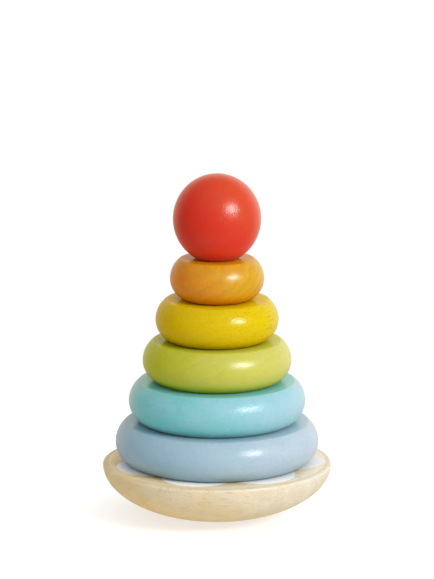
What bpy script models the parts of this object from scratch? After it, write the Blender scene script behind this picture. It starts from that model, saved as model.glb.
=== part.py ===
"""A wooden stacking tower: five turned rings and a ball on a post that stands in a rocking base.

Metres, +Z up. Every piece is turned about the Z axis, and the origin is the middle of the flat foot
under the base. Each loose piece is parented to the one that it rests on, so lifting one ring carries
all that is stacked above it.
"""

import math

import bpy

# Rocking base: a shallow bowl of solid wood, flat on top, with a small sanded foot to stand on.
BASE_DIAMETER = 0.120
BOWL_DEPTH = 0.028
RIM_ROUND_WIDTH = 0.0022
RIM_ROUND_HEIGHT = 0.0010
FOOT_DIAMETER = 0.026
SOCKET_FLOOR = 0.009

# Rings: one height and one edge shape for all, and a diameter for each.
BLUE_RING_DIAMETER = 0.1066
TURQUOISE_RING_DIAMETER = 0.0925
GREEN_RING_DIAMETER = 0.0778
YELLOW_RING_DIAMETER = 0.0643
ORANGE_RING_DIAMETER = 0.0491
RING_HEIGHT = 0.02145
RING_TOP_INSET = 0.0054
RING_BOTTOM_INSET = 0.0073

# Ball: a little taller than wide, with a flat seat turned around the hole in its underside.
BALL_DIAMETER = 0.0459
BALL_FULL_HEIGHT = 0.0471
BALL_SEAT_WIDTH = 0.0028

# Post: a round dowel with a domed top, glued into the base.
POST_DIAMETER = 0.014
POST_DOME_HEIGHT = 0.004
POST_REACH_INTO_BALL = 0.018

# Clearances: the bores of the rings run loose, the ball fits closer, and stacked pieces just part.
RING_BORE_CLEARANCE = 0.0010
BALL_HOLE_CLEARANCE = 0.0004
BALL_HOLE_END_CLEARANCE = 0.0020
SOCKET_CLEARANCE = 0.0003
SEAT_CLEARANCE = 0.0003
MOUTH_CHAMFER = 0.0010

# How finely the round surfaces are divided.
TURN_STEPS = 48
QUARTER_STEPS = 9
ROUND_STEPS = 5
MERGE_DISTANCE = 0.00001

# Sizes that follow from those above.
BASE_RADIUS = BASE_DIAMETER / 2
FOOT_RADIUS = FOOT_DIAMETER / 2
POST_RADIUS = POST_DIAMETER / 2
RING_BORE_RADIUS = POST_RADIUS + RING_BORE_CLEARANCE
BALL_HOLE_RADIUS = POST_RADIUS + BALL_HOLE_CLEARANCE
BALL_SEAT_RADIUS = BALL_HOLE_RADIUS + MOUTH_CHAMFER + BALL_SEAT_WIDTH
FOOT_ANGLE = math.acos(FOOT_RADIUS / BASE_RADIUS)
BASE_WIDEST_HEIGHT = BOWL_DEPTH * math.sin(FOOT_ANGLE)
BASE_HEIGHT = BASE_WIDEST_HEIGHT + RIM_ROUND_HEIGHT

RINGS = (
    ("blue_ring", BLUE_RING_DIAMETER, (150, 178, 203)),
    ("turquoise_ring", TURQUOISE_RING_DIAMETER, (109, 194, 211)),
    ("green_ring", GREEN_RING_DIAMETER, (172, 190, 58)),
    ("yellow_ring", YELLOW_RING_DIAMETER, (217, 190, 12)),
    ("orange_ring", ORANGE_RING_DIAMETER, (212, 138, 32)),
)
BALL_COLOUR = (214, 58, 38)
BARE_WOOD_COLOUR = (228, 208, 168)
STAIN_ROUGHNESS = 0.35
BARE_WOOD_ROUGHNESS = 0.5


def clear_scene():
    for old in list(bpy.data.objects):
        bpy.data.objects.remove(old)


def linear(channel):
    """The linear light value of a screen colour channel from 0 to 255."""
    share = channel / 255
    return share / 12.92 if share <= 0.04045 else ((share + 0.055) / 1.055) ** 2.4


def wood_finish(name, colour, roughness):
    material = bpy.data.materials.new(name)
    material.use_nodes = True
    shader = material.node_tree.nodes["Principled BSDF"]
    shader.inputs["Base Color"].default_value = (*map(linear, colour), 1)
    shader.inputs["Roughness"].default_value = roughness
    shader.inputs["Metallic"].default_value = 0
    return material


def arc(centre, radii, start, end, steps):
    """Points (radius, height) along an ellipse, with both ends, for angles above the horizontal."""
    angles = [start + (end - start) * step / steps for step in range(steps + 1)]
    return [
        (centre[0] + radii[0] * math.cos(angle), centre[1] + radii[1] * math.sin(angle))
        for angle in angles
    ]


def rounded_side(outer_radius, half_height, inset, direction):
    """A circular arc from the widest point to a flat face that starts this far in from the widest.

    It rises from half height for direction +1, and falls from there for -1.
    """
    radius = (inset**2 + half_height**2) / (2 * inset)
    reach = math.atan2(half_height, radius - inset)
    centre = (outer_radius - radius, half_height)
    return arc(centre, (radius, radius), 0, direction * reach, ROUND_STEPS)


def base_profile():
    """From the floor of the socket, over the flat top and the rim, down the bowl to the foot."""
    socket_radius = POST_RADIUS + SOCKET_CLEARANCE
    bowl_centre = (0, BASE_WIDEST_HEIGHT)
    rim_centre = (BASE_RADIUS - RIM_ROUND_WIDTH, BASE_WIDEST_HEIGHT)
    rim = arc(rim_centre, (RIM_ROUND_WIDTH, RIM_ROUND_HEIGHT), math.pi / 2, 0, ROUND_STEPS)
    bowl = arc(bowl_centre, (BASE_RADIUS, BOWL_DEPTH), 0, -FOOT_ANGLE, 2 * QUARTER_STEPS)
    socket = [
        (0, SOCKET_FLOOR),
        (socket_radius, SOCKET_FLOOR),
        (socket_radius, BASE_HEIGHT),
    ]
    return socket + rim + bowl[1:] + [(0, 0)]


def post_profile(length):
    """From the top of the dome down the side, and in under the foot of the dowel."""
    dome = arc(
        (0, length - POST_DOME_HEIGHT), (POST_RADIUS, POST_DOME_HEIGHT), math.pi / 2, 0, ROUND_STEPS
    )
    return dome + [(POST_RADIUS, 0), (0, 0)]


def ring_profile(outer_radius):
    """A closed loop: down the bulging side, in along the underside, up the bore and out on top."""
    half_height = RING_HEIGHT / 2
    wall = outer_radius - RING_BORE_RADIUS - MOUTH_CHAMFER
    upper = rounded_side(outer_radius, half_height, min(RING_TOP_INSET, wall / 2), 1)
    lower = rounded_side(outer_radius, half_height, min(RING_BOTTOM_INSET, wall / 2), -1)
    bore = [
        (RING_BORE_RADIUS + MOUTH_CHAMFER, 0),
        (RING_BORE_RADIUS, MOUTH_CHAMFER),
        (RING_BORE_RADIUS, RING_HEIGHT - MOUTH_CHAMFER),
        (RING_BORE_RADIUS + MOUTH_CHAMFER, RING_HEIGHT),
    ]
    return upper[::-1] + lower[1:] + bore


def ball_profile():
    """From the top down to the flat seat, then up the hole to its closed end."""
    radii = (BALL_DIAMETER / 2, BALL_FULL_HEIGHT / 2)
    seat_angle = math.acos(BALL_SEAT_RADIUS / radii[0])
    centre = (0, radii[1] * math.sin(seat_angle))
    outside = arc(centre, radii, math.pi / 2, -seat_angle, 2 * QUARTER_STEPS)
    hole_depth = POST_REACH_INTO_BALL + BALL_HOLE_END_CLEARANCE
    hole = [
        (BALL_HOLE_RADIUS + MOUTH_CHAMFER, 0),
        (BALL_HOLE_RADIUS, MOUTH_CHAMFER),
        (BALL_HOLE_RADIUS, hole_depth),
        (0, hole_depth),
    ]
    return outside + hole


def turned(name, profile, material, is_loop=False):
    """A piece turned from its half section, which stands at +X and runs down its outer side."""
    last = len(profile) - 1
    edges = [(point, point + 1) for point in range(last)]
    if is_loop:
        edges.append((last, 0))
    mesh = bpy.data.meshes.new(name)
    mesh.from_pydata([(radius, 0, height) for radius, height in profile], edges, [])
    mesh.materials.append(material)
    piece = bpy.data.objects.new(name, mesh)
    turn = piece.modifiers.new("Turn", "SCREW")
    turn.axis = "Z"
    turn.angle = math.tau
    turn.steps = TURN_STEPS
    turn.render_steps = TURN_STEPS
    turn.use_smooth_shade = True
    turn.use_merge_vertices = True
    turn.merge_threshold = MERGE_DISTANCE
    piece.modifiers.new("Even shading", "WEIGHTED_NORMAL")
    return piece


def place(collection, piece, parent, height):
    collection.objects.link(piece)
    piece.parent = parent
    piece.location = (0, 0, height)
    return piece


def build():
    clear_scene()
    tower = bpy.data.collections.new("stacking_tower")
    bpy.context.scene.collection.children.link(tower)
    origin = place(tower, bpy.data.objects.new("stacking_tower", None), None, 0)

    bare_wood = wood_finish("bare_wood", BARE_WOOD_COLOUR, BARE_WOOD_ROUGHNESS)
    base = place(tower, turned("rocker_base", base_profile(), bare_wood), origin, 0)

    ball_seat = BASE_HEIGHT + len(RINGS) * (SEAT_CLEARANCE + RING_HEIGHT) + SEAT_CLEARANCE
    post_foot = SOCKET_FLOOR + SOCKET_CLEARANCE
    post_top = ball_seat + POST_REACH_INTO_BALL
    dowel_wood = wood_finish("dowel_wood", BARE_WOOD_COLOUR, BARE_WOOD_ROUGHNESS)
    place(tower, turned("centre_post", post_profile(post_top - post_foot), dowel_wood), base, post_foot)

    below = base
    height_below = BASE_HEIGHT
    seat = BASE_HEIGHT
    for name, diameter, colour in RINGS:
        stain = wood_finish(name + "_stain", colour, STAIN_ROUGHNESS)
        ring = turned(name, ring_profile(diameter / 2), stain, is_loop=True)
        below = place(tower, ring, below, height_below + SEAT_CLEARANCE)
        height_below = RING_HEIGHT
        print(f"{name} comes off the post after {1000 * (post_top - seat - SEAT_CLEARANCE):.2f} mm")
        seat += SEAT_CLEARANCE + RING_HEIGHT

    ball_stain = wood_finish("red_ball_stain", BALL_COLOUR, STAIN_ROUGHNESS)
    ball = turned("red_ball", ball_profile(), ball_stain)
    place(tower, ball, below, height_below + SEAT_CLEARANCE)
    print(f"red_ball comes off the post after {1000 * POST_REACH_INTO_BALL:.2f} mm")


build()
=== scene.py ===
# %% [markdown]
# # A wooden stacking tower
# Five turned rings, each smaller than the one below, sit with a ball on a post that stands in a
# rocking base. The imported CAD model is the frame: its bodies move the pieces, and its solids give the
# sizes. This script dresses each solid with a finer turned surface and a wood finish of its own.

import math

import bpy
import numpy as np
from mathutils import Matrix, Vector


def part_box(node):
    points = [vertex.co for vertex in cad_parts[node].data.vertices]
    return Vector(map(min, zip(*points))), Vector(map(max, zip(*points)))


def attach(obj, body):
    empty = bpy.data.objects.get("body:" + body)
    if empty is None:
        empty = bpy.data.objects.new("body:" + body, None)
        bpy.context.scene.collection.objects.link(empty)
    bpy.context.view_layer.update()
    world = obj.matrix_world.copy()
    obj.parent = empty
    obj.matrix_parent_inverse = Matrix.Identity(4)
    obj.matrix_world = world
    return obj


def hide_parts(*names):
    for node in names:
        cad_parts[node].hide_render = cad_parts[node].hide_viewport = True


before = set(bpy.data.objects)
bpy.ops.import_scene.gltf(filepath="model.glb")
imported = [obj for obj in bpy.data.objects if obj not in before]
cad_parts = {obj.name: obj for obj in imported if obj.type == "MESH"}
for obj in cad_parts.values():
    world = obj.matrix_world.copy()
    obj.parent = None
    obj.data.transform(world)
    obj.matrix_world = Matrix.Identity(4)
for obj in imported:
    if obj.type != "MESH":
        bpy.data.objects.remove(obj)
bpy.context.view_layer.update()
print("solids:", sorted(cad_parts))

# %% [markdown]
# ## The camera
# The photograph was taken from far off with a long lens, thirteen degrees above the table. The rings
# show almost no perspective, so the camera stands two metres away. It points a little above the
# tower, which puts the toy low in the picture without shifting the lens.

# %% Stand the camera in front of the tower
IMAGE_HEIGHT = 579
FOCAL_PIXELS = 3826
SENSOR_WIDTH = 36
CAMERA_DISTANCE = 2.0
CAMERA_ELEVATION = math.radians(13.0)
CAMERA_TILT_UP = math.radians(0.868)
LOOK_POINT = Vector((0, 0, 0.0893))

camera_data = bpy.data.cameras.new("tower_camera")
camera_data.sensor_width = SENSOR_WIDTH
camera_data.lens = FOCAL_PIXELS * SENSOR_WIDTH / IMAGE_HEIGHT
camera = bpy.data.objects.new("tower_camera", camera_data)
bpy.context.scene.collection.objects.link(camera)
towards_camera = Vector((0, -math.cos(CAMERA_ELEVATION), math.sin(CAMERA_ELEVATION)))
camera.location = LOOK_POINT + CAMERA_DISTANCE * towards_camera
camera.rotation_euler = (math.pi / 2 - CAMERA_ELEVATION + CAMERA_TILT_UP, 0, 0)
bpy.context.scene.camera = camera
bpy.context.scene.view_settings.view_transform = "Standard"
print("lens in mm:", round(camera_data.lens, 1))

# %% [markdown]
# ## A small helper for shader nodes
# Every finish below is a little tree of shader nodes. One helper adds a node, sets its options and
# fills its sockets, either with a fixed value or with a link from another node's output. Colours are
# written as screen values from 0 to 255 and turned into the linear light that shaders work with.


# %% Nodes and colours
def add_node(tree, kind, sockets=None, **options):
    """Adds a node. A socket takes a plain value, or a link where it is given another output."""
    made = tree.nodes.new(kind)
    for option, value in options.items():
        setattr(made, option, value)
    for socket, value in (sockets or {}).items():
        if isinstance(value, bpy.types.NodeSocket):
            tree.links.new(value, made.inputs[socket])
        else:
            made.inputs[socket].default_value = value
    return made


def screen_colour(red, green, blue):
    """Linear colour of a screen colour: the standard screen curve undone channel by channel."""
    share = np.array((red, green, blue)) / 255
    linear = np.where(share <= 0.04045, share / 12.92, ((share + 0.055) / 1.055) ** 2.4)
    return (*linear.tolist(), 1.0)


print("mid grey of the screen is", round(screen_colour(128, 128, 128)[0], 3), "in linear light")

# %% [markdown]
# ## A white table in soft light
# The toy stands on a round white table top. Besides its matt white it gives off a little light of its
# own, which lifts it to the white of the photograph and still leaves the soft shadow under the toy. The
# lacquer does not mirror it, because the photograph shows no edge of a table in the gloss.

# %% The floor
TABLE_RADIUS = 0.25
TABLE_STEPS = 96
TABLE_MATT = (0.50, 0.50, 0.50, 1.0)
TABLE_GLOW = 0.60

table_turn = np.linspace(0, 2 * math.pi, TABLE_STEPS, endpoint=False)
table_rim = TABLE_RADIUS * np.column_stack((np.cos(table_turn), np.sin(table_turn), 0 * table_turn))
table_mesh = bpy.data.meshes.new("white_table")
table_mesh.from_pydata(table_rim.tolist(), [], [list(range(TABLE_STEPS))])
table = bpy.data.objects.new("white_table", table_mesh)
bpy.context.scene.collection.objects.link(table)
table.visible_glossy = False

table_finish = bpy.data.materials.new("white_table_top")
table_finish.use_nodes = True
tree = table_finish.node_tree
tree.nodes.clear()
matt = add_node(tree, "ShaderNodeBsdfDiffuse", {"Color": TABLE_MATT})
glow = add_node(tree, "ShaderNodeEmission", {"Strength": TABLE_GLOW})
table_top = add_node(tree, "ShaderNodeAddShader", {0: matt.outputs[0], 1: glow.outputs[0]})
add_node(tree, "ShaderNodeOutputMaterial", {"Surface": table_top.outputs[0]})
table_mesh.materials.append(table_finish)
print("table:", 2 * TABLE_RADIUS, "m across")

# %% [markdown]
# ## The studio round it
# The photograph's shading is soft: bright from the right, dimmer on the left, with one softbox high on
# the right whose reflection sits on every ring. So the room is a smooth gradient of light, with a bright
# ceiling that leans to the front and a little more light from low in front. Gloss sees a room of its
# own, a white backdrop behind the toy, warmer on the left, and a dark studio in front, because the
# photograph's colours are deep from the front and pale only along the outlines. The softbox is an area
# lamp at the angle that puts its reflection where the photograph has it. It stands far off, so a ring
# that is lifted high is lit like one that is stacked.

# %% The room
UP = (0.0, 0.0, 1.0)
RIGHT = (1.0, 0.0, 0.0)
BACK = (0.0, 1.0, 0.0)
ALL_ROUND = (-1.0, 1.0)
NONE_TO_ALL = (0.0, 1.0)
FILL_SIDE = Vector((0.80, 0.45, -0.40)).normalized()
FILL_LEVELS = (0.20, 1.30)
CEILING_SIDE = Vector((-0.1, -0.5, 0.86)).normalized()
CEILING_SPAN = (0.2, 0.95)
CEILING_LEVELS = (0.0, 0.75)
FRONT_SIDE = Vector((-0.35, -0.94, 0.0)).normalized()
FRONT_SPAN = (0.30, 1.0)
FRONT_LEVELS = (0.0, 0.15)
FRONT_LOW_SPAN = (0.50, 0.05)
BACKDROP_SPAN = (0.10, 0.95)
BACKDROP_TOP_SPAN = (1.05, 0.25)
BACKDROP_FOOT_SPAN = (-0.50, -0.05)
BACKDROP_FOOT_LEVELS = (0.5, 1.0)
BACKDROP_TURN_SPAN = (-0.6, 0.6)
BACKDROP_LEFT = (0.85, 0.68, 0.46, 1.0)
BACKDROP_RIGHT = (1.05, 1.02, 0.95, 1.0)
DARK_STUDIO = 0.02

world = bpy.data.worlds.new("studio_room")
bpy.context.scene.world = world
world.use_nodes = True
world.cycles.sampling_method = "NONE"
room_tree = world.node_tree
room_tree.nodes.clear()
direction = add_node(room_tree, "ShaderNodeTexCoord").outputs["Generated"]


def towards(side, span, levels=NONE_TO_ALL, shape="SMOOTHSTEP"):
    """A level that runs between two values as the direction turns towards a side."""
    facing = add_node(room_tree, "ShaderNodeVectorMath", {0: direction, 1: side}, operation="DOT_PRODUCT")
    return add_node(room_tree, "ShaderNodeMapRange",
                    {"Value": facing.outputs["Value"], "From Min": span[0], "From Max": span[1],
                     "To Min": levels[0], "To Max": levels[1]}, interpolation_type=shape).outputs[0]


def combined(operation, *levels):
    """One level worked out from others by a named operation."""
    return add_node(room_tree, "ShaderNodeMath", dict(enumerate(levels)), operation=operation).outputs[0]


def lit_room(strength, colour=(1.0, 1.0, 1.0, 1.0)):
    """A background of this strength and colour."""
    sockets = {"Color": colour, "Strength": strength}
    return add_node(room_tree, "ShaderNodeBackground", sockets).outputs[0]


def either(share, first, second):
    """The first background where the share is 0, and the second where it is 1."""
    return add_node(room_tree, "ShaderNodeMixShader", {0: share, 1: first, 2: second}).outputs[0]


gradient = towards(FILL_SIDE, ALL_ROUND, FILL_LEVELS, "LINEAR")
ceiling = towards(CEILING_SIDE, CEILING_SPAN, CEILING_LEVELS)
in_front = towards(FRONT_SIDE, FRONT_SPAN, FRONT_LEVELS)
low_down = towards(UP, FRONT_LOW_SPAN)
overall = combined("ADD", gradient, ceiling)
fill = lit_room(combined("MULTIPLY_ADD", in_front, low_down, overall))
behind = towards(BACK, BACKDROP_SPAN)
not_overhead = towards(UP, BACKDROP_TOP_SPAN)
not_underfoot = towards(UP, BACKDROP_FOOT_SPAN, BACKDROP_FOOT_LEVELS)
band = combined("MULTIPLY", not_overhead, not_underfoot)
rightward = towards(RIGHT, BACKDROP_TURN_SPAN, shape="LINEAR")
side_tint = add_node(room_tree, "ShaderNodeMix", {0: rightward, 6: BACKDROP_LEFT, 7: BACKDROP_RIGHT},
                     data_type="RGBA").outputs[2]
backdrop = lit_room(combined("MULTIPLY_ADD", behind, band, DARK_STUDIO), side_tint)
path = add_node(room_tree, "ShaderNodeLightPath").outputs
lit = either(path["Is Glossy Ray"], fill, backdrop)
to_camera = combined("MAXIMUM", path["Is Camera Ray"], path["Is Transmission Ray"])
room = either(to_camera, lit, lit_room(1.0))
add_node(room_tree, "ShaderNodeOutputWorld", {"Surface": room})
print("fill light from", FILL_LEVELS[0], "on the dim side to", FILL_LEVELS[1], "on the bright side")

# %% The softbox
SOFTBOX_DIRECTION = Vector((0.6155, -0.6155, 0.4924)).normalized()
SOFTBOX_DISTANCE = 6.0
SOFTBOX_WIDTH = 1.92
SOFTBOX_HEIGHT = 1.344
SOFTBOX_RADIANCE = 24.0

softbox_data = bpy.data.lights.new("softbox", "AREA")
softbox_data.shape = "RECTANGLE"
softbox_data.size = SOFTBOX_WIDTH
softbox_data.size_y = SOFTBOX_HEIGHT
softbox_data.energy = SOFTBOX_RADIANCE * math.pi * SOFTBOX_WIDTH * SOFTBOX_HEIGHT
softbox = bpy.data.objects.new("softbox", softbox_data)
bpy.context.scene.collection.objects.link(softbox)
softbox.location = LOOK_POINT + SOFTBOX_DISTANCE * SOFTBOX_DIRECTION
softbox.rotation_euler = (-SOFTBOX_DIRECTION).to_track_quat("-Z", "Y").to_euler()
softbox.visible_camera = False
print("softbox watts:", round(softbox_data.energy, 1))

# %% [markdown]
# ## Turning on a lathe
# Every piece of the toy is turned, so every piece is a half section carried round the Z axis. A half
# section is a row of stretches, straight or bowed, and a turner eases the corners between them with a
# touch of sandpaper. Each corner here is a short parabola, which keeps the crease crisp and still
# catches a thin line of light. Whole arrays of points go into the mesh at once.

# %% Stretches of a half section
ARC_POINTS = 61
CORNER_POINTS = 7
NEAR = 0.00002


def straight(start, end):
    """A straight stretch between two points (radius, height)."""
    return np.array([start, end], float)


def bowed(centre, radii, start, end):
    """A stretch of ellipse: the centre plus each radius times the cosine or sine of a turning angle."""
    angle = np.linspace(start, end, ARC_POINTS)
    return np.column_stack((centre[0] + radii[0] * np.cos(angle), centre[1] + radii[1] * np.sin(angle)))


def walked(stretch, distances):
    """Points at these distances along a stretch, by straight interpolation over the way travelled."""
    steps = np.hypot(*np.diff(stretch, axis=0).T)
    travelled = np.concatenate(([0.0], np.cumsum(steps)))
    return np.column_stack([np.interp(distances, travelled, column) for column in stretch.T])


def length_of(stretch):
    """The way along a stretch, summed from point to point."""
    return np.hypot(*np.diff(stretch, axis=0).T).sum()


def eased_corner(before, corner, after):
    """A parabola from one point to another that leans on the corner: (1-t)^2 a + 2t(1-t) c + t^2 b."""
    t = np.linspace(0, 1, CORNER_POINTS + 2)[1:-1, None]
    return (1 - t) ** 2 * before + 2 * t * (1 - t) * corner + t**2 * after


def eased_section(stretches, counts, reaches, is_loop):
    """Joins stretches into one row of points, and marks eased edges, flat faces and undersides.

    Each reach is how far the corner after that stretch eats into both its neighbours. A section runs
    down its outer side, so a point faces down by the share of its way that runs inwards.
    """
    points, rubbed_and_lit, flat = [], [], []
    last = len(stretches) - 1
    for place, (stretch, count) in enumerate(zip(stretches, counts)):
        from_start = reaches[place - 1] if place or is_loop else 0.0
        to_end = reaches[place] if place < last or is_loop else 0.0
        length = length_of(stretch)
        kept = walked(stretch, np.linspace(from_start, length - to_end, count))
        points.append(kept)
        rubbed_and_lit.append(np.zeros(count))
        flat.append(np.full(count, float(np.ptp(stretch[:, 1]) < NEAR)))
        if to_end:
            following = stretches[(place + 1) % len(stretches)]
            after = walked(following, np.array([to_end]))[0]
            points.append(eased_corner(kept[-1], stretch[-1], after))
            # This mark later lightens the stain: partly rubbed stain, partly a painted highlight.
            rubbed_and_lit.append(np.sin(np.linspace(0, math.pi, CORNER_POINTS + 2))[1:-1])
            flat.append(np.zeros(CORNER_POINTS))
    section = np.vstack(points)
    run, rise = np.gradient(section, axis=0).T
    marks = {
        "rubbed_and_lit_edge": np.concatenate(rubbed_and_lit),
        "flat_face": np.concatenate(flat),
        "underside": np.clip(-run / np.hypot(run, rise), 0.0, 1.0),
    }
    return section, marks


print("points on each eased corner:", CORNER_POINTS)

# %% Carry a section round the axis
TURN_STEPS = 288
SANDING_DEPTH = 0.00006
SANDING_WAVES = ((2, 140.0, 0.0), (5, -90.0, 1.0))


def turned_piece(name, section, marks, is_loop):
    """A closed surface: x = r cos t, y = r sin t, z = h for each section point (r, h) and turning angle t.

    Hand sanding takes a hair off the radius, as two slow waves round the piece: each gives its count of
    waves, its twist with height and its start. A section that starts and ends on the axis closes in a
    fan of triangles at each pole; a loop closes on itself.
    """
    turn = np.linspace(0, 2 * math.pi, TURN_STEPS, endpoint=False)
    ring_rows = section if is_loop else section[1:-1]
    radius, height = ring_rows[:, :1], ring_rows[:, 1:]
    wave = sum(np.cos(count * turn + twist * height + start) for count, twist, start in SANDING_WAVES)
    sanded = radius - SANDING_DEPTH * (1 + wave / len(SANDING_WAVES)) / 2
    grid = np.stack((sanded * np.cos(turn), sanded * np.sin(turn), height + 0 * turn), axis=-1)
    rows = len(ring_rows)
    number = np.arange(rows * TURN_STEPS).reshape(rows, TURN_STEPS)
    beside = np.roll(number, -1, axis=1)
    if is_loop:
        here, here_beside = number, beside
        below, below_beside = np.roll(number, -1, axis=0), np.roll(beside, -1, axis=0)
    else:
        here, here_beside = number[:-1], beside[:-1]
        below, below_beside = number[1:], beside[1:]
    faces = np.stack((here, below, below_beside, here_beside), axis=-1).reshape(-1, 4).tolist()
    vertices = grid.reshape(-1, 3)
    if not is_loop:
        poles = np.array([(0, 0, section[0, 1]), (0, 0, section[-1, 1])])
        first, second = len(vertices), len(vertices) + 1
        vertices = np.vstack((vertices, poles))
        start_fan = np.column_stack((np.full(TURN_STEPS, first), number[0], beside[0]))
        end_fan = np.column_stack((number[-1], np.full(TURN_STEPS, second), beside[-1]))
        faces += start_fan.tolist() + end_fan.tolist()
    mesh = bpy.data.meshes.new(name)
    mesh.from_pydata(vertices.tolist(), [], faces)
    for mark, along_section in marks.items():
        on_points = np.zeros(len(vertices), np.float32)
        on_points[:number.size] = np.repeat(along_section if is_loop else along_section[1:-1], TURN_STEPS)
        mesh.attributes.new(mark, "FLOAT", "POINT").data.foreach_set("value", on_points)
    mesh.shade_smooth()
    mesh.update()
    piece = bpy.data.objects.new(name, mesh)
    bpy.context.scene.collection.objects.link(piece)
    print(f"{name}: {len(vertices)} points, {len(faces)} faces")
    return piece


# %% Measure a solid of the frame
def section_of(node):
    """Distance from the turning axis and height of every corner of a CAD solid, as two arrays."""
    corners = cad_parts[node].data.vertices
    flat = np.empty(3 * len(corners), np.float32)
    corners.foreach_get("co", flat)
    x, y, z = flat.reshape(-1, 3).astype(float).T
    return np.hypot(x, y), z


print("widest solid:", round(2000 * section_of("rocker_base")[0].max(), 1), "mm across")

# %% [markdown]
# ## The rings
# A ring is a thick slice of board with a hole through it, turned to a plump round edge that stops at
# flat faces above and below. The flats meet the round edge in a clear crease, which the photograph
# shows as a dark lens of shade under each piece. The widest radius, the flats and the hole are measured
# on the solid, and one arc through them gives each half of the edge.

# %% The half section of a ring
CREASE_REACH = 0.0006
MOUTH_REACH = 0.0004
RING_COUNTS = (56, 8, 3, 8, 3, 8)


def bulge(outer, middle, half_height, inset, direction):
    """The arc that leaves the widest point upright and reaches a flat this far in from it.

    Its radius is (inset^2 + half^2) / (2 inset), from the chord between those two points.
    """
    radius = (inset**2 + half_height**2) / (2 * inset)
    reach = math.atan2(half_height, radius - inset)
    return bowed((outer - radius, middle), (radius, radius), 0, direction * reach)


def ring_section(node):
    """Down the round edge, in along the underside, up the hole and out along the top."""
    radius, height = section_of(node)
    bottom, top, outer, bore = height.min(), height.max(), radius.max(), radius.min()
    on_top, on_bottom = radius[height > top - NEAR], radius[height < bottom + NEAR]
    mouth = on_top.min()
    middle, half = (bottom + top) / 2, (top - bottom) / 2
    upper = bulge(outer, middle, half, outer - on_top.max(), 1)[::-1]
    lower = bulge(outer, middle, half, outer - on_bottom.max(), -1)
    chamfer = mouth - bore
    stretches = [
        np.vstack((upper, lower[1:])),
        straight((on_bottom.max(), bottom), (mouth, bottom)),
        straight((mouth, bottom), (bore, bottom + chamfer)),
        straight((bore, bottom + chamfer), (bore, top - chamfer)),
        straight((bore, top - chamfer), (mouth, top)),
        straight((mouth, top), (on_top.max(), top)),
    ]
    reaches = [CREASE_REACH, MOUTH_REACH, MOUTH_REACH, MOUTH_REACH, MOUTH_REACH, CREASE_REACH]
    return eased_section(stretches, RING_COUNTS, reaches, is_loop=True)


# %% Turn the five rings
RING_COLOURS = ("blue", "turquoise", "green", "yellow", "orange")
rings = {}
for colour in RING_COLOURS:
    rings[colour] = turned_piece(f"{colour}_ring_wood", *ring_section(f"{colour}_ring"), is_loop=True)
    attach(rings[colour], colour)
    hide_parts(f"{colour}_ring")

# %% [markdown]
# ## The ball
# The ball is turned a hair taller than it is wide. A small flat round the hole in its underside is the
# seat it stands on, and the hole is blind, so the ball caps the post.

# %% Turn the ball
BALL_COUNTS = (96, 4, 3, 8, 6)

ball_radius, ball_height = section_of("red_ball")
ball_top, seat_height = ball_height.max(), ball_height.min()
on_seat = ball_radius[ball_height < seat_height + NEAR]
hole_radius = on_seat.min() - (np.unique(ball_height.round(6))[1] - seat_height)
hole_end = ball_height[np.abs(ball_radius - hole_radius) < NEAR].max()
ball_wide = ball_radius.max()
ball_squeeze = math.sqrt(1 - (on_seat.max() / ball_wide) ** 2)
ball_half_height = (ball_top - seat_height) / (1 + ball_squeeze)
ball_centre = ball_top - ball_half_height
mouth_rise = on_seat.min() - hole_radius
ball_stretches = [
    bowed((0, ball_centre), (ball_wide, ball_half_height), math.pi / 2, -math.asin(ball_squeeze)),
    straight((on_seat.max(), seat_height), (on_seat.min(), seat_height)),
    straight((on_seat.min(), seat_height), (hole_radius, seat_height + mouth_rise)),
    straight((hole_radius, seat_height + mouth_rise), (hole_radius, hole_end)),
    straight((hole_radius, hole_end), (0, hole_end)),
]
ball_reaches = [CREASE_REACH, MOUTH_REACH, MOUTH_REACH, MOUTH_REACH, 0]
ball_section = eased_section(ball_stretches, BALL_COUNTS, ball_reaches, is_loop=False)
ball = turned_piece("red_ball_wood", *ball_section, is_loop=False)
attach(ball, "ball")
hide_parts("red_ball")
print("ball in mm:", round(2000 * ball_wide, 1), "wide,", round(2000 * ball_half_height, 1), "tall in full")

# %% [markdown]
# ## The rocking base
# The base is one block of pale wood: flat on top, with a narrow rounded rim, and a bowl below that ends
# in a small sanded foot. A blind socket in the middle takes the post.

# %% Turn the base
BASE_COUNTS = (5, 6, 24, 8, 72, 6)

base_radius, base_height = section_of("rocker_base")
base_top, rim_radius = base_height.max(), base_radius.max()
widest_height = base_height[base_radius > rim_radius - NEAR].mean()
top_edge = base_radius[base_height > base_top - NEAR].max()
socket_radius = base_radius[base_height > base_top - NEAR].min()
socket_floor = base_height[np.abs(base_radius - socket_radius) < NEAR].min()
foot_radius = base_radius[base_height < NEAR].max()
bowl_depth = widest_height / math.sqrt(1 - (foot_radius / rim_radius) ** 2)
rim = bowed((top_edge, widest_height), (rim_radius - top_edge, base_top - widest_height), math.pi / 2, 0)
bowl = bowed((0, widest_height), (rim_radius, bowl_depth), 0, -math.acos(foot_radius / rim_radius))
base_stretches = [
    straight((0, socket_floor), (socket_radius, socket_floor)),
    straight((socket_radius, socket_floor), (socket_radius, base_top)),
    straight((socket_radius, base_top), (top_edge, base_top)),
    rim,
    bowl,
    straight((foot_radius, 0), (0, 0)),
]
base_reaches = [MOUTH_REACH, MOUTH_REACH, CREASE_REACH, CREASE_REACH, 2 * CREASE_REACH, 0]
base_section = eased_section(base_stretches, BASE_COUNTS, base_reaches, is_loop=False)
base = turned_piece("rocking_bowl_wood", *base_section, is_loop=False)
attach(base, "base")
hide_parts("rocker_base")

# %% [markdown]
# ## The post
# The post is a plain dowel, glued into the socket, with a domed top that finds the holes easily. It only
# shows when rings come off, but then it is the middle of the toy.

# %% Turn the post
POST_COUNTS = (24, 40, 5)

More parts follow.
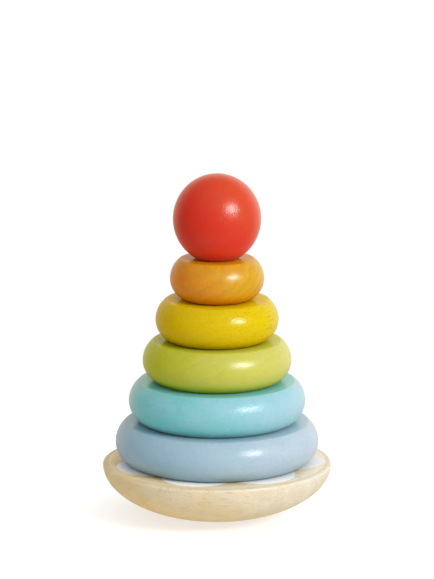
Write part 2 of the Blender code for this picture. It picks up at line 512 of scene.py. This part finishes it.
post_radius, post_height = section_of("centre_post")
dowel, post_top, post_foot = post_radius.max(), post_height.max(), post_height.min()
dome_start = post_height[post_radius > dowel - NEAR].max()
post_stretches = [
    bowed((0, dome_start), (dowel, post_top - dome_start), math.pi / 2, 0),
    straight((dowel, dome_start), (dowel, post_foot)),
    straight((dowel, post_foot), (0, post_foot)),
]
post_reaches = [CREASE_REACH, CREASE_REACH, 0]
post_section = eased_section(post_stretches, POST_COUNTS, post_reaches, is_loop=False)
post = turned_piece("post_dowel_wood", *post_section, is_loop=False)
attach(post, "base")
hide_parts("centre_post")

# %% [markdown]
# ## The white rosette
# A plain scalloped flower is printed in white on the flat of the base, and its round petals peep out
# from under the lowest ring. Paint has a thickness, so the print is a closed film a few hundredths of a
# millimetre proud of the wood. Its outline is seven overlapping circles: at an angle a from a petal's
# middle, the edge lies at c cos a + sqrt(p^2 - c^2 sin^2 a), for petals of radius p centred at radius c.

# %% Lay the print on the base
PETALS = 7
PETAL_HEADING = math.radians(-106.1)
PETAL_CENTRE = 0.0368
PETAL_RADIUS = 0.0189
PRINT_INNER = 0.0105
PRINT_OFFSET = (0.0004, 0.0015)
PRINT_PROUD = 0.00004
PRINT_SUNK = 0.00001
PRINT_STEPS = 840
FILM_COUNT = 9
FILM_EDGE_LIFT = (0.7, 0.3)
FILM_EDGE_INSET = (0.4, 0.1)
FILM_INNER_LIFT = 0.5
FILM_INNER_INSET = 0.4


def scalloped_edge(angle):
    """Radius of the flower's outline, from the circle of the nearest petal."""
    spacing = 2 * math.pi / PETALS
    from_petal = (angle - PETAL_HEADING + spacing / 2) % spacing - spacing / 2
    across = PETAL_CENTRE * np.sin(from_petal)
    return PETAL_CENTRE * np.cos(from_petal) + np.sqrt(PETAL_RADIUS**2 - across**2)


def printed_film(name):
    """A flat film between a small circle and the scalloped edge: a thin closed section at every angle.

    Its section runs out over the top, down the rounded edge, back underneath and up the inner edge.
    """
    angle = np.linspace(0, 2 * math.pi, PRINT_STEPS, endpoint=False)
    outwards, above, below = np.linspace(0, 1, FILM_COUNT), np.ones(FILM_COUNT), np.zeros(FILM_COUNT)
    share = np.concatenate((outwards, [1.0, 1.0], outwards[::-1], [0.0]))[:, None]
    lift = np.concatenate((above, FILM_EDGE_LIFT, below, [FILM_INNER_LIFT]))[:, None]
    inset = np.concatenate((above, FILM_EDGE_INSET, below, [FILM_INNER_INSET]))[:, None]
    edge = scalloped_edge(angle)
    radius = PRINT_INNER + share * (edge - PRINT_INNER)
    radius = radius - PRINT_PROUD * inset * (2 * share - 1)
    height = base_top - PRINT_SUNK + (PRINT_PROUD + PRINT_SUNK) * lift
    across = PRINT_OFFSET[0] * share + radius * np.cos(angle)
    deep = PRINT_OFFSET[1] * share + radius * np.sin(angle)
    grid = np.stack((across, deep, height + 0 * angle), axis=-1)
    number = np.arange(len(share) * PRINT_STEPS).reshape(len(share), PRINT_STEPS)
    beside = np.roll(number, -1, axis=1)
    faces = np.stack((number, np.roll(number, -1, axis=0), np.roll(beside, -1, axis=0), beside), axis=-1)
    mesh = bpy.data.meshes.new(name)
    mesh.from_pydata(grid.reshape(-1, 3).tolist(), [], faces.reshape(-1, 4).tolist())
    mesh.update()
    piece = bpy.data.objects.new(name, mesh)
    bpy.context.scene.collection.objects.link(piece)
    print(f"{name}: {PETALS} petals from {1000 * edge.min():.1f} mm out to {1000 * edge.max():.1f} mm")
    return piece


rosette = printed_film("white_rosette")
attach(rosette, "base")

# %% [markdown]
# ## Wood, inside and out
# Turned wood shows what the block was like inside, so its figure is worked out in three dimensions and
# the surface simply cuts through it. Each piece was sawn from a board with its grain along some heading.
# Along the grain run fine fibres and open pores; across it come growth rings round a pith somewhere
# outside the piece. Where the surface cuts across the grain the pores are dots, and where it runs along
# the grain they are short dashes.

# %% The figure of a board
FIBRE = (0.020, 0.0007, 3.0)
CLOUD = (0.026, 0.013, 2.0)
SPECKLE = (0.0016, 0.0007, 1.0)
WAVER = (0.060, 0.014, 2.0)
NOISE_ROUGHNESS = 0.6
NOISE_SPAN = (0.28, 0.72)
YEAR_START = 0.20
YEAR_STOP = 0.85
PORE_CORE = 0.5


def object_space(tree):
    """The piece's own coordinates, in metres."""
    return add_node(tree, "ShaderNodeTexCoord").outputs["Object"]


def board_space(tree, pith, heading, dip):
    """Object coordinates seen from the board: X runs along the grain, and the pith lies on that axis."""
    turn = (0, math.radians(dip), math.radians(heading))
    return add_node(tree, "ShaderNodeMapping",
                    {"Vector": object_space(tree), "Location": pith, "Rotation": turn},
                    vector_type="TEXTURE").outputs[0]


def stretched(tree, board, length, width):
    """Board coordinates counted in lengths along the grain and widths across it."""
    return add_node(tree, "ShaderNodeVectorMath",
                    {0: board, 1: (1 / length, 1 / width, 1 / width)}, operation="MULTIPLY").outputs[0]


def ranged(tree, value, low, high, to_low=0.0, to_high=1.0):
    """A value carried from one range to another and held at its ends."""
    sockets = {"Value": value, "From Min": low, "From Max": high, "To Min": to_low, "To Max": to_high}
    return add_node(tree, "ShaderNodeMapRange", sockets, clamp=True).outputs[0]


def calculated(tree, operation, first, second, third=0.0):
    """One number worked out from two or three others by a named operation."""
    sockets = {0: first, 1: second, 2: third}
    return add_node(tree, "ShaderNodeMath", sockets, operation=operation).outputs[0]


def grain_noise(tree, board, scale):
    """Noise drawn out along the grain and spread over 0 to 1. The scale is length, width and detail."""
    length, width, detail = scale
    noise = add_node(tree, "ShaderNodeTexNoise",
                     {"Vector": stretched(tree, board, length, width), "Scale": 1.0, "Detail": detail,
                      "Roughness": NOISE_ROUGHNESS})
    return ranged(tree, noise.outputs["Fac"], *NOISE_SPAN)


def growth_rings(tree, board, width):
    """Distance from the pith, wavered a little, counted in ring widths: each year darkens, then stops."""
    across = add_node(tree, "ShaderNodeVectorMath", {0: board, 1: (0.0, 1.0, 1.0)}, operation="MULTIPLY")
    distance = add_node(tree, "ShaderNodeVectorMath", {0: across.outputs[0]}, operation="LENGTH")
    years = calculated(tree, "MULTIPLY_ADD", distance.outputs["Value"], 1 / width,
                       grain_noise(tree, board, WAVER))
    year = calculated(tree, "FRACT", years, 0.0)
    darkening = ranged(tree, year, YEAR_START, YEAR_STOP)
    stopping = ranged(tree, year, YEAR_STOP, 1.0, 1.0, 0.0)
    return calculated(tree, "MULTIPLY", darkening, stopping)


def open_pores(tree, board, length, width, size, kept):
    """Short hollow tubes along the grain: the middles of stretched cells, kept in a share of them."""
    cells = add_node(tree, "ShaderNodeTexVoronoi",
                     {"Vector": stretched(tree, board, length, width), "Scale": 1.0, "Randomness": 1.0})
    tubes = ranged(tree, cells.outputs["Distance"], PORE_CORE * size, size, 1.0, 0.0)
    lot = add_node(tree, "ShaderNodeSeparateColor", {0: cells.outputs["Color"]}).outputs[0]
    return calculated(tree, "MULTIPLY", tubes, calculated(tree, "LESS_THAN", lot, kept))


# %% [markdown]
# ## Stain under lacquer
# The rings are dipped in a thin stain and then lacquered, so colour and wood are seen together. The
# stain is deeper low on the left and paler high on the right, which is painted shade and painted light,
# in soft blotches of its own, and it is deeper on the underside, which is painted shade. It gathers in
# the pores, and it is lighter along the creases, partly rubbed thin and partly a painted highlight.
# Lacquer is sprayed from above, so there is less of it underneath, and it follows the grain a little,
# which breaks up its gloss. The flat faces are sanded smoother and have a lacquer of their own, and
# their colour is a share of the stain that paints in the light, shade and reflected colour they get. A
# few pieces have a bloom, a pale haze that shows along the outlines.

# %% Stain
# The stain is deeper away from these sides and paler towards them: painted shade and painted light.
PAINTED_LIGHT_SIDE = Vector((0.9, 0.0, 0.45)).normalized()
TALL_PAINTED_LIGHT_SIDE = Vector((0.55, 0.0, 0.83)).normalized()
BALL_PAINTED_LIGHT_SIDE = Vector((0.72, 0.0, 0.69)).normalized()
BASE_PAINTED_LIGHT_SIDE = Vector((0.38, 0.0, 0.92)).normalized()
# Undersides keep only this share of their paleness: the stain is painted darker there, a painted shade.
UNDERSIDE_SHADE_SPAN = (0.25, 0.80)
UNDERSIDE_SHADE_PALE = 0.45
SPECKLE_WEIGHT = 0.05
# How much lighter the eased creases are: partly rubbed stain, partly a painted highlight.
RUBBED_AND_LIT_ALONG_FIBRE = 0.20
RUBBED_AND_LIT_EVERYWHERE = 0.02


def blended(tree, share, first, second):
    """A colour that runs from the first to the second with the share."""
    return add_node(tree, "ShaderNodeMix", {0: share, 6: first, 7: second}, data_type="RGBA").outputs[2]


def marked(tree, attribute):
    """A mark that the half section gave to the points of its piece."""
    return add_node(tree, "ShaderNodeAttribute", attribute_name=attribute).outputs["Fac"]


def painted_light_and_blotches(tree, cloud, cloud_weight, centre, reach, draining, pooling):
    """How pale the stain is, from 0 to 1: painted shade and light that drift towards one side, the stain's
    own blotches, and painted shade on undersides.
    """
    along_painted_light = add_node(tree, "ShaderNodeVectorMath", {0: object_space(tree), 1: draining},
                       operation="DOT_PRODUCT").outputs["Value"]
    middle = centre * draining.z
    painted_light = ranged(tree, along_painted_light, middle - reach, middle + reach, -cloud_weight / 2, 1 - cloud_weight / 2)
    clouded = calculated(tree, "MULTIPLY_ADD", cloud, cloud_weight, painted_light)
    # Painted shade: the stain turns deeper on undersides.
    pool = ranged(tree, marked(tree, "underside"), *UNDERSIDE_SHADE_SPAN, 1.0, pooling)
    return calculated(tree, "MULTIPLY", clouded, pool)


def figured(tree, grain, stain, fibre, fibre_weight, ring_width, year_weight):
    """Stain made lighter and darker by fibres, speckles and growth rings, about its own level."""
    speckle = grain_noise(tree, grain, SPECKLE)
    years = growth_rings(tree, grain, ring_width)
    level = 1 - (fibre_weight + SPECKLE_WEIGHT - year_weight) / 2
    level = calculated(tree, "MULTIPLY_ADD", fibre, fibre_weight, level)
    level = calculated(tree, "MULTIPLY_ADD", speckle, SPECKLE_WEIGHT, level)
    level = calculated(tree, "MULTIPLY_ADD", years, -year_weight, level)
    return add_node(tree, "ShaderNodeVectorMath", {0: stain, "Scale": level}, operation="SCALE").outputs[0]


# %% Lacquer
LACQUER_PEEL = (0.0016, 0.0008, 2.0)
FIBRE_ROUGHNESS = 0.10
PORE_ROUGHNESS = 0.2
FIBRE_RELIEF = 0.5
PORE_RELIEF = -1.0
SPRAY_SPAN = (0.35, 0.85)
SPRAY_UNDER = 0.15
FLAT_RELIEF = 0.40
FLAT_LACQUER = 0.62
FLAT_POLISH = 0.16
BLOOM_ROUGHNESS = 0.5
BLOOM_TINT = (1.0, 0.75, 0.65, 1.0)


def lacquered(tree, shader, grain, fibre, tubes, gloss, bloom):
    """Sets the gloss of a finish, and a relief from fibres, pores and the peel of sprayed lacquer."""
    roughness, coat, coat_roughness, coat_index, relief_depth = gloss
    satin = calculated(tree, "MULTIPLY_ADD", fibre, FIBRE_ROUGHNESS, roughness - FIBRE_ROUGHNESS / 2)
    satin = calculated(tree, "MULTIPLY_ADD", tubes, PORE_ROUGHNESS, satin)
    tree.links.new(satin, shader.inputs["Roughness"])
    shader.inputs["Specular IOR Level"].default_value = 0.0
    sprayed = ranged(tree, marked(tree, "underside"), *SPRAY_SPAN, coat, SPRAY_UNDER * coat)
    tree.links.new(sprayed, shader.inputs["Coat Weight"])
    shader.inputs["Coat Roughness"].default_value = coat_roughness
    shader.inputs["Coat IOR"].default_value = coat_index
    shader.inputs["Sheen Weight"].default_value = bloom
    shader.inputs["Sheen Roughness"].default_value = BLOOM_ROUGHNESS
    shader.inputs["Sheen Tint"].default_value = BLOOM_TINT

    peel = grain_noise(tree, grain, LACQUER_PEEL)
    relief = calculated(tree, "MULTIPLY_ADD", fibre, FIBRE_RELIEF, peel)
    relief = calculated(tree, "MULTIPLY_ADD", tubes, PORE_RELIEF, relief)
    bump = add_node(tree, "ShaderNodeBump", {"Height": relief, "Strength": 1.0, "Distance": relief_depth})
    tree.links.new(bump.outputs[0], shader.inputs["Normal"])
    tree.links.new(bump.outputs[0], shader.inputs["Coat Normal"])


# %% One function for every turned piece
def turned_wood(name, tones, centre, reach, board, ring_width, figure, pores, flecks, gloss,
                draining=PAINTED_LIGHT_SIDE, pooling=UNDERSIDE_SHADE_PALE, bloom=0.0, flat_lacquer=FLAT_LACQUER, is_flat=False):
    """Wood finish. Tones are the deep and the pale stain, painted shade and painted light, the share of it
    that flat faces show, which paints in their light, shade and reflected colour, the pores, the flecks
    and the edge tone, partly rubbed stain and partly a painted highlight.

    The stain drifts over this reach about the centre, towards the side of painted light, from painted
    shade to painted light, and underside shade pale is the share of paleness that undersides keep, a
    painted shade. Board gives pith, heading and dip. Figure weighs fibres, growth rings and blotches;
    pores and flecks each give length, width, size, share and strength; gloss gives roughness, the
    lacquer's weight, roughness and index of refraction, and the depth of its relief. Bloom weighs the
    haze along the outlines. Flat faces have their own share of the lacquer's weight, polished, with less
    relief.
    """
    finish = bpy.data.materials.new(name)
    finish.use_nodes = True
    tree = finish.node_tree
    shader = tree.nodes["Principled BSDF"]
    grain = board_space(tree, *board)
    fibre = grain_noise(tree, grain, FIBRE)
    cloud = grain_noise(tree, grain, CLOUD)
    tubes = open_pores(tree, grain, *pores[:4])
    marks = open_pores(tree, grain, *flecks[:4])
    fibre_weight, year_weight, cloud_weight = figure
    deep, pale, flat_painted_light, pore_tone, fleck_tone, rubbed_and_lit_tone = tones

    # Deep and pale stain mixed by painted shade and light, the stain's own blotches and painted shade
    # underneath.
    paleness = painted_light_and_blotches(tree, cloud, cloud_weight, centre, reach, draining, pooling)
    stain = blended(tree, paleness, deep, pale)
    # Flat faces get a share of the stain that paints in their light, shade and reflected colour.
    if is_flat:
        stain = add_node(tree, "ShaderNodeVectorMath", {0: stain, 1: flat_painted_light[:3]},
                         operation="MULTIPLY").outputs[0]
    wood = figured(tree, grain, stain, fibre, fibre_weight, ring_width, year_weight)
    wood = blended(tree, calculated(tree, "MULTIPLY", tubes, pores[4]), wood, pore_tone)
    wood = blended(tree, calculated(tree, "MULTIPLY", marks, flecks[4]), wood, fleck_tone)
    # Lighter along eased creases: partly stain rubbed thin, partly a painted highlight.
    rubbed_and_lit_level = calculated(tree, "MULTIPLY_ADD", fibre, RUBBED_AND_LIT_ALONG_FIBRE, RUBBED_AND_LIT_EVERYWHERE)
    worn_and_lit = calculated(tree, "MULTIPLY", marked(tree, "rubbed_and_lit_edge"), rubbed_and_lit_level)
    tree.links.new(blended(tree, worn_and_lit, wood, rubbed_and_lit_tone), shader.inputs["Base Color"])

    if is_flat:
        roughness, coat, _, coat_index, relief_depth = gloss
        gloss = (roughness, flat_lacquer * coat, FLAT_POLISH, coat_index, FLAT_RELIEF * relief_depth)
    lacquered(tree, shader, grain, fibre, tubes, gloss, bloom)
    print("finish:", name)
    return finish


# %% [markdown]
# ## A look for every piece
# No two pieces of a real toy come from the same spot of the same plank, so each gets its own board,
# pores and gloss. A look is a row of values in the order in which the function above lists them. The
# flat faces are told apart by the mark that the half section gave them.

# %% Pores, glosses and tones
FINE_PORES = (0.004, 0.0008, 0.30, 0.40, 0.40)
OPEN_PORES = (0.012, 0.0008, 0.31, 0.85, 0.70)
STREAKS = (0.006, 0.0007, 0.30, 0.60, 0.45)
LONG_PORES = (0.010, 0.0006, 0.34, 0.60, 0.55)
FAINT_PORES = (0.004, 0.0008, 0.30, 0.30, 0.20)
FEW_FLECKS = (0.012, 0.0060, 0.06, 0.20, 0.45)
LONG_FLECKS = (0.030, 0.0070, 0.07, 0.30, 0.40)
PORE_SHARE = np.array((0.60, 0.48, 0.40))
FLECK_SHARE = 0.3
BARE_WOOD = (228, 208, 168)
UNCHANGED = (1.0, 1.0, 1.0)
SATIN = (0.42, 0.90, 0.22, 1.55, 0.00006)
THIN_SATIN = (0.42, 0.55, 0.22, 1.55, 0.00006)
SOFT_SATIN = (0.42, 0.76, 0.22, 1.55, 0.00005)
BRIGHT_SATIN = (0.42, 1.00, 0.285, 1.64, 0.00003)
GLOSSY = (0.42, 0.70, 0.18, 1.54, 0.00004)
MATT = (0.50, 1.00, 0.280, 1.62, 0.00004)


def stain_tones(deep, pale, flat_painted_light, rubbed_and_lit=0.25):
    """Deep and pale stain, painted shade and painted light, pores and flecks as darker stain, and a lighter
    edge with bare wood in it, partly rubbed stain and partly a painted highlight.
    """
    deep, pale, wood = (np.array(screen_colour(*tone)[:3]) for tone in (deep, pale, BARE_WOOD))
    middle = (deep + pale) / 2
    tones = (deep, pale, np.array(flat_painted_light), PORE_SHARE * middle, FLECK_SHARE * middle,
             (1 - rubbed_and_lit) * middle + rubbed_and_lit * wood)
    return [(*tone.tolist(), 1.0) for tone in tones]


def flat_faces(mesh):
    """One for each face whose corners all carry the flat mark, and zero for the others."""
    flat_marks = np.empty(len(mesh.vertices), np.float32)
    mesh.attributes["flat_face"].data.foreach_get("value", flat_marks)
    corners = np.empty(len(mesh.loops), np.int32)
    mesh.loops.foreach_get("vertex_index", corners)
    starts = np.empty(len(mesh.polygons), np.int32)
    mesh.polygons.foreach_get("loop_start", starts)
    return np.minimum.reduceat(flat_marks[corners], starts).astype(np.int32)


def dress(piece, name, *look, **extras):
    """Gives a piece one finish on its round faces and its smoother form on its flat ones, whose colour
    carries painted light, shade and reflected colour.
    """
    piece.data.materials.append(turned_wood(name, *look, **extras))
    piece.data.materials.append(turned_wood(f"{name}_flats", *look, is_flat=True, **extras))
    piece.data.polygons.foreach_set("material_index", flat_faces(piece.data))


def dress_ring(colour, tones, *board_and_gloss, **extras):
    """Dresses a ring. Its size, for the drift of the stain, is read from its solid."""
    low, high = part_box(f"{colour}_ring")
    dress(rings[colour], f"{colour}_stained_wood", tones, (low[2] + high[2]) / 2, high[0],
          *board_and_gloss, **extras)


# %% Dress the rings
# Each ring's deep and pale stain paint in shade and light; the third triple is the flat faces' painted
# light, shade and reflected colour.
dress_ring("blue", stain_tones((130, 164, 180), (161, 176, 187), (0.86, 1.08, 1.12)),
           ((0, 0.09, -0.03), 35, 4), 0.006, (0.05, 0.02, 0.35), FAINT_PORES, FEW_FLECKS, SOFT_SATIN,
           bloom=0.12, flat_lacquer=1.0)
dress_ring("turquoise", stain_tones((77, 179, 174), (151, 179, 195), (0.30, 1.10, 0.94)),
           ((0.02, 0.08, 0.02), -40, 3), 0.005, (0.10, 0.02, 0.3), FAINT_PORES, FEW_FLECKS, SATIN,
           draining=TALL_PAINTED_LIGHT_SIDE, pooling=0.65, bloom=0.20, flat_lacquer=1.0)
dress_ring("green", stain_tones((170, 173, 0), (186, 180, 89), (1.05, 1.11, 0.50)),
           ((0.05, 0.05, 0.03), -100, 6), 0.005, (0.06, 0.03, 0.4), FINE_PORES, FEW_FLECKS, BRIGHT_SATIN,
           flat_lacquer=0.5)
dress_ring("yellow", stain_tones((198, 164, 1), (196, 171, 0), (1.17, 1.13, 0.75)),
           ((0.06, 0.04, 0.06), -122, 3), 0.005, (0.07, 0.03, 0.4), OPEN_PORES, FEW_FLECKS, GLOSSY)
dress_ring("orange", stain_tones((209, 124, 18), (191, 146, 2), (1.15, 1.05, 0.80)),
           ((0.03, 0.02, 0.09), -50, 12), 0.005, (0.16, 0.10, 0.4), STREAKS, FEW_FLECKS, BRIGHT_SATIN)

# %% [markdown]
# The ball is stained like the rings, with painted light and reflection making its palest side high on the
# right and painted shade its deepest side low down. Base and post are bare wood under lacquer. The bowl
# has no painted shade underneath; its drift runs from a warm painted glow low down to painted light high
# up, and its flat top is brightened by its flat share, also painted light. The post's grain runs along
# it, as in any dowel.

# %% Dress the ball, the base and the post
# The ball's painted light and reflection are palest high on the right, its painted shade deepest low down;
# the drift's middle sits this far above the ball's centre.
BALL_DRIFT_RISE = 0.43
BALL_DRIFT_REACH = 0.4
# Deep tone is a warm painted glow low on the bowl, pale tone painted light high up; the third entry
# brightens the flat top, painted light.
BARE_TONES = [
    screen_colour(202, 166, 81),
    screen_colour(203, 200, 190),
    (1.30, 1.26, 1.20, 1.0),
    screen_colour(190, 130, 64),
    screen_colour(214, 150, 80),
    screen_colour(240, 226, 196),
]

# Deep and pale red: painted shade low down, painted light and reflection high up.
ball_tones = stain_tones((204, 37, 9), (193, 58, 19), UNCHANGED)
ball.data.materials.append(
    turned_wood("red_stained_wood", ball_tones, ball_centre + BALL_DRIFT_RISE * ball_wide,
                BALL_DRIFT_REACH * ball_wide, ((0.05, 0.02, 0.10), -70, 10), 0.005, (0.05, 0.03, 0.5),
                FAINT_PORES, FEW_FLECKS, MATT, draining=BALL_PAINTED_LIGHT_SIDE, bloom=0.10))
# The bowl's drift runs mostly upwards: warm painted glow low down, painted light high up.
dress(base, "bare_bowl_wood", BARE_TONES, base_top / 2, rim_radius, ((0.0, 0.03, 0.09), 6, 7), 0.008,
      (0.12, 0.05, 0.2), LONG_PORES, LONG_FLECKS, THIN_SATIN, draining=BASE_PAINTED_LIGHT_SIDE, pooling=1.0,
      flat_lacquer=0.9)
post.data.materials.append(
    turned_wood("bare_dowel_wood", BARE_TONES, (post_top + post_foot) / 2, post_top,
                ((0.03, 0.02, 0.0), 0, 90), 0.004, (0.10, 0.06, 0.4), FINE_PORES, LONG_FLECKS, MATT))

# %% [markdown]
# ## White paint
# The print is a flat white with hardly any gloss. A roller leaves it slightly uneven, it turns greyer
# towards the right, which is painted shade, and the grain of the wood below just shows through.

# %% The print's finish
PRINT_BOARD = ((0.0, 0.03, 0.09), 20, 4)
UNSHADED_PAINT = screen_colour(250, 248, 244)
SHADED_PAINT = screen_colour(228, 228, 227)
PAINT_SHADE_SPAN = (0.010, 0.056)
PAINT_LEVELS = (0.97, 1.0)
PAINT_ROUGHNESS = (0.5, 0.6)
PAINT_SHINE = 0.1
PAINT_RELIEF = 0.00002
PAINT_RELIEF_STRENGTH = 0.3

print_finish = bpy.data.materials.new("white_print_paint")
print_finish.use_nodes = True
tree = print_finish.node_tree
shader = tree.nodes["Principled BSDF"]
print_grain = grain_noise(tree, board_space(tree, *PRINT_BOARD), FIBRE)
print_across = add_node(tree, "ShaderNodeSeparateXYZ", {0: object_space(tree)}).outputs["X"]
# Greyer towards the right: painted shade.
paint_tone = blended(tree, ranged(tree, print_across, *PAINT_SHADE_SPAN), UNSHADED_PAINT, SHADED_PAINT)
paint_level = ranged(tree, print_grain, 0, 1, *PAINT_LEVELS)
paint = add_node(tree, "ShaderNodeVectorMath", {0: paint_tone, "Scale": paint_level}, operation="SCALE")
tree.links.new(paint.outputs[0], shader.inputs["Base Color"])
tree.links.new(ranged(tree, print_grain, 0, 1, *PAINT_ROUGHNESS), shader.inputs["Roughness"])
shader.inputs["Specular IOR Level"].default_value = PAINT_SHINE
paint_bump = add_node(tree, "ShaderNodeBump", {"Height": print_grain, "Strength": PAINT_RELIEF_STRENGTH,
                                               "Distance": PAINT_RELIEF})
tree.links.new(paint_bump.outputs[0], shader.inputs["Normal"])
rosette.data.materials.append(print_finish)
print("finish:", print_finish.name)
